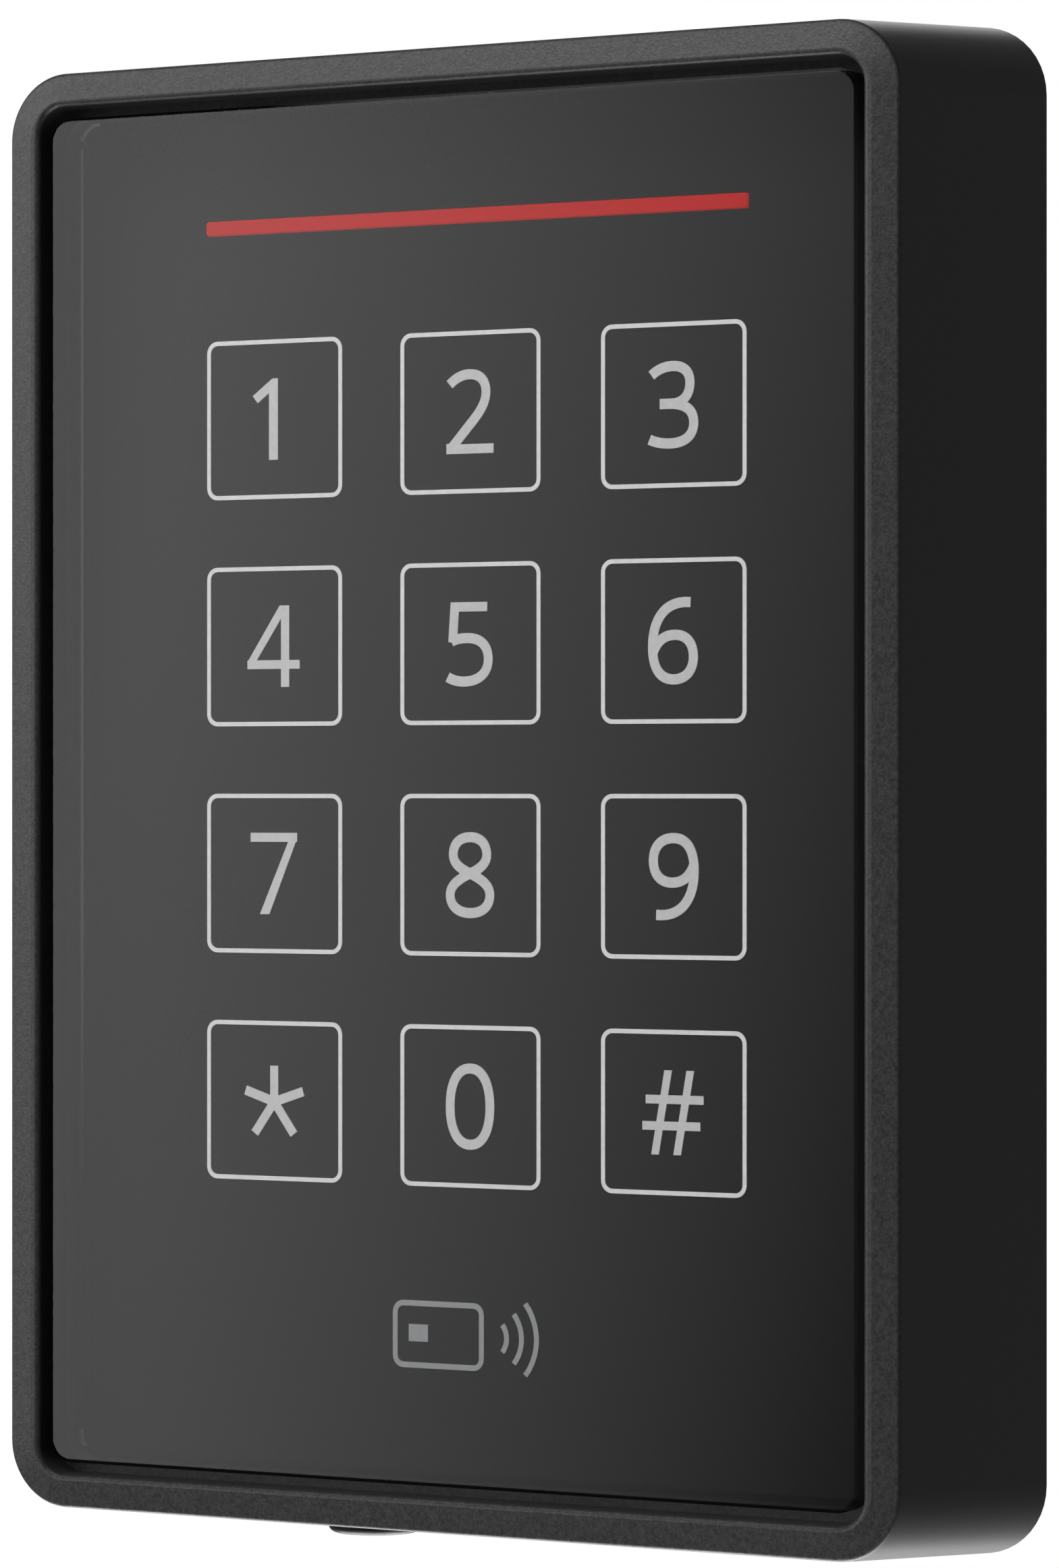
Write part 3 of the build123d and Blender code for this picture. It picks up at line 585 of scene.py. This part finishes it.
def glyph_three():
    upper = curve(
        (-1.86, 2.22),
        ((-1.35, 2.64), (-0.75, 2.87), (-0.05, 2.87)),
        ((0.90, 2.87), (1.40, 2.38), (1.40, 1.62)),
        ((1.40, 0.70), (0.85, 0.08), (-0.15, 0.08)),
        ((-0.4, 0.08), (-0.8, 0.08), (-1.15, 0.08)),
    )
    lower = curve(
        (-0.40, 0.08),
        ((1.05, 0.08), (1.72, -0.45), (1.72, -1.36)),
        ((1.72, -2.35), (0.95, -2.87), (-0.35, -2.87)),
        ((-0.95, -2.87), (-1.55, -2.76), (-2.02, -2.54)),
    )
    return stroke(upper) + stroke(lower)


def glyph_four():
    diagonal = polygon((-2.44, -1.20), (0.50, CAP), (0.98, CAP), (0.98, 2.67), (0.62, 2.15), (-1.60, -1.07))
    return diagonal + block(-2.44, -1.74, 2.31, -1.07) + block(0.62, -CAP, 1.36, CAP)


def glyph_five():
    bowl = curve(
        (-1.62, 0.18),
        ((-1.20, 0.36), (-0.75, 0.42), (-0.25, 0.42)),
        ((0.95, 0.42), (1.60, -0.20), (1.60, -1.18)),
        ((1.60, -2.25), (0.75, -2.87), (-0.55, -2.87)),
        ((-1.05, -2.87), (-1.55, -2.76), (-1.96, -2.52)),
    )
    stem = polygon((-1.69, CAP), (-0.93, CAP), (-1.12, 0.50), (-1.40, 0.05), (-1.90, 0.14))
    return stroke(bowl) + stem + block(-1.69, 2.43, 1.50, CAP)


def glyph_six():
    return stroke(curve(
        (1.45, 2.84),
        ((-0.75, 3.05), (-1.76, 1.55), (-1.76, -0.45)),
        ((-1.76, -2.05), (-1.10, -2.87), (0.0, -2.87)),
        ((1.05, -2.87), (1.69, -2.20), (1.69, -1.20)),
        ((1.69, -0.18), (1.10, 0.44), (0.12, 0.44)),
        ((-0.75, 0.44), (-1.35, 0.00), (-1.68, -0.80)),
    ))


def glyph_seven():
    leg = polygon((1.27, 2.44), (-1.30, -CAP), (-0.45, -CAP), (2.08, 2.74), (2.08, 3.0), (1.27, 3.0))
    return leg + block(-2.15, 2.44, 2.08, CAP)


def glyph_eight():
    return stroke(curve(
        (0, 2.87),
        ((0.90, 2.87), (1.47, 2.35), (1.47, 1.55)),
        ((1.47, 0.85), (0.80, 0.45), (0.0, 0.12)),
        ((-0.95, -0.28), (-1.74, -0.75), (-1.74, -1.50)),
        ((-1.74, -2.35), (-1.05, -2.87), (0, -2.87)),
        ((1.05, -2.87), (1.74, -2.35), (1.74, -1.50)),
        ((1.74, -0.75), (0.95, -0.28), (0.0, 0.12)),
        ((-0.80, 0.45), (-1.47, 0.85), (-1.47, 1.55)),
        ((-1.47, 2.35), (-0.90, 2.87), (0, 2.87)),
    ))


def glyph_nine():
    return turned(glyph_six())


def glyph_star():
    """Five arms, each given by its angle in degrees and its length. They overlap a little in the middle."""
    middle, overlap = Vector((0, -0.08)), 0.1
    polygons = []
    for angle, length in ((90, 2.78), (162, 2.75), (18, 2.75), (234, 3.02), (306, 3.02)):
        way = Vector((math.cos(math.radians(angle)), math.sin(math.radians(angle))))
        polygons += stroke([middle - way * overlap, middle + way * length], STAR_STROKE)
    return polygons


def glyph_hash():
    half = HASH_STROKE / 2
    polygons = block(-2.34, 0.97 - half, 2.55, 0.97 + half) + block(-2.62, -0.99 - half, 2.27, -0.99 + half)
    for low, high in ((-1.55, -0.44), (0.32, 1.43)):
        polygons += polygon((low - half, -CAP), (low + half, -CAP), (high + half, CAP), (high - half, CAP))
    return polygons


def card_sign():
    """A plain sign for a contactless card: a card's outline with a chip, and three waves."""
    left, right, top, corner, corner_steps = -6.6, 1.0, 2.35, 0.7, 6
    chip_left, chip_right, chip_low, chip_high = -5.4, -3.7, -0.55, 0.75
    waves_x, wave_radii, wave_half_angle, wave_step = 1.6, (1.6, 2.9, 4.2), 40, 8
    outline = []
    for x, y, start in (
        (right - corner, top - corner, 0),
        (left + corner, top - corner, 90),
        (left + corner, corner - top, 180),
        (right - corner, corner - top, 270),
    ):
        for step in range(corner_steps + 1):
            angle = math.radians(start + 90 * step / corner_steps)
            outline.append((x + corner * math.cos(angle), y + corner * math.sin(angle)))
    polygons = stroke(outline + outline[:1], SIGN_STROKE)
    polygons += block(chip_left, chip_low, chip_right, chip_high)
    for radius in wave_radii:
        angles = [math.radians(a) for a in range(-wave_half_angle, wave_half_angle + 1, wave_step)]
        wave = [(waves_x + radius * math.cos(angle), radius * math.sin(angle)) for angle in angles]
        polygons += stroke(wave, SIGN_STROKE)
    return polygons


def union(polygons):
    """One flat set of triangles that covers the polygons, as (points, triangles)."""
    points, faces = [], []
    for poly in polygons:
        if sum(p.cross(q) for p, q in zip(poly, poly[1:] + poly[:1])) < 0:
            poly = poly[::-1]
        faces.append(list(range(len(points), len(points) + len(poly))))
        points += [Vector(p) for p in poly]
    triangles_inside = 1
    out = geometry.delaunay_2d_cdt(points, [], faces, triangles_inside, MERGE_DISTANCE)
    return out[0], [f for f, origin in zip(out[2], out[5]) if origin]


def print_piece(name, polygons, middle_x, middle_z, ink):
    """A printed mark: the polygons' union, as thick as the ink, on the back of the window."""
    points, triangles = union(polygons)
    used = sorted({i for triangle in triangles for i in triangle})
    sides = [side for triangle in triangles for side in zip(triangle, triangle[1:] + triangle[:1])]
    shared = Counter(frozenset(side) for side in sides)
    grid = bmesh.new()
    back, front = {}, {}
    for layer, y in ((back, PRINT_BACK), (front, PRINT_FRONT)):
        for i in used:
            layer[i] = grid.verts.new((middle_x + points[i].x * MM, y, middle_z + points[i].y * MM))
        for triangle in triangles:
            grid.faces.new([layer[i] for i in triangle])
    for a, b in sides:
        if shared[frozenset((a, b))] == 1:
            grid.faces.new((back[a], back[b], front[b], front[a]))
    bmesh.ops.recalc_face_normals(grid, faces=grid.faces)
    bmesh.ops.dissolve_limit(grid, angle_limit=FLAT_ANGLE, verts=grid.verts, edges=grid.edges)
    make_piece(name, grid, ink)


legends = (
    ("1", glyph_one), ("2", glyph_two), ("3", glyph_three),
    ("4", glyph_four), ("5", glyph_five), ("6", glyph_six),
    ("7", glyph_seven), ("8", glyph_eight), ("9", glyph_nine),
    ("star", glyph_star), ("0", glyph_zero), ("hash", glyph_hash),
)
for index, (name, glyph) in enumerate(legends):
    row, column = divmod(index, len(KEY_COLUMNS))
    print_piece("legend_" + name, glyph(), KEY_COLUMNS[column], TOP_ROW_Z - row * KEY_PITCH, "ink_pale")
print_piece("card_sign", card_sign(), 0.0, MARK_Z, "ink_grey")

# ==== the tamper switch's spring ============================================================
SPRING_WIRE, SPRING_TURNS = 0.16 * MM, 2.5
TURN_STEPS, WIRE_SIDES = 24, 8


def wire_ring(grid, centre, out):
    """The points round the wire at centre, where out is the way from the coil's axis."""
    ring = []
    for side in range(WIRE_SIDES):
        turn = 2 * math.pi * side / WIRE_SIDES
        offset = math.cos(turn) * out + Vector((0, math.sin(turn), 0))
        ring.append(grid.verts.new(centre + SPRING_WIRE * offset))
    return ring


def tamper_spring():
    """The coil under the plunger."""
    low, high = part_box("tamper_spring")
    length, radius = high.y - low.y, (high.x - low.x) / 2 - SPRING_WIRE
    middle = (low + high) / 2
    steps = int(TURN_STEPS * SPRING_TURNS)
    grid = bmesh.new()
    rings = []
    for step in range(steps + 1):
        share = step / steps
        angle = 2 * math.pi * SPRING_TURNS * share
        out = Vector((math.cos(angle), 0, math.sin(angle)))
        centre = middle + radius * out
        centre.y = high.y - SPRING_WIRE - (length - 2 * SPRING_WIRE) * share
        rings.append(wire_ring(grid, centre, out))
    for ring, following in zip(rings, rings[1:]):
        for side in range(WIRE_SIDES):
            after = (side + 1) % WIRE_SIDES
            grid.faces.new((ring[side], ring[after], following[after], following[side]))
    for ring in (rings[0], rings[-1]):
        grid.faces.new(ring)
    bmesh.ops.recalc_face_normals(grid, faces=grid.faces)
    piece = make_piece("tamper_coil", grid, "spring_steel")
    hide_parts("tamper_spring")
    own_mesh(piece)


tamper_spring()
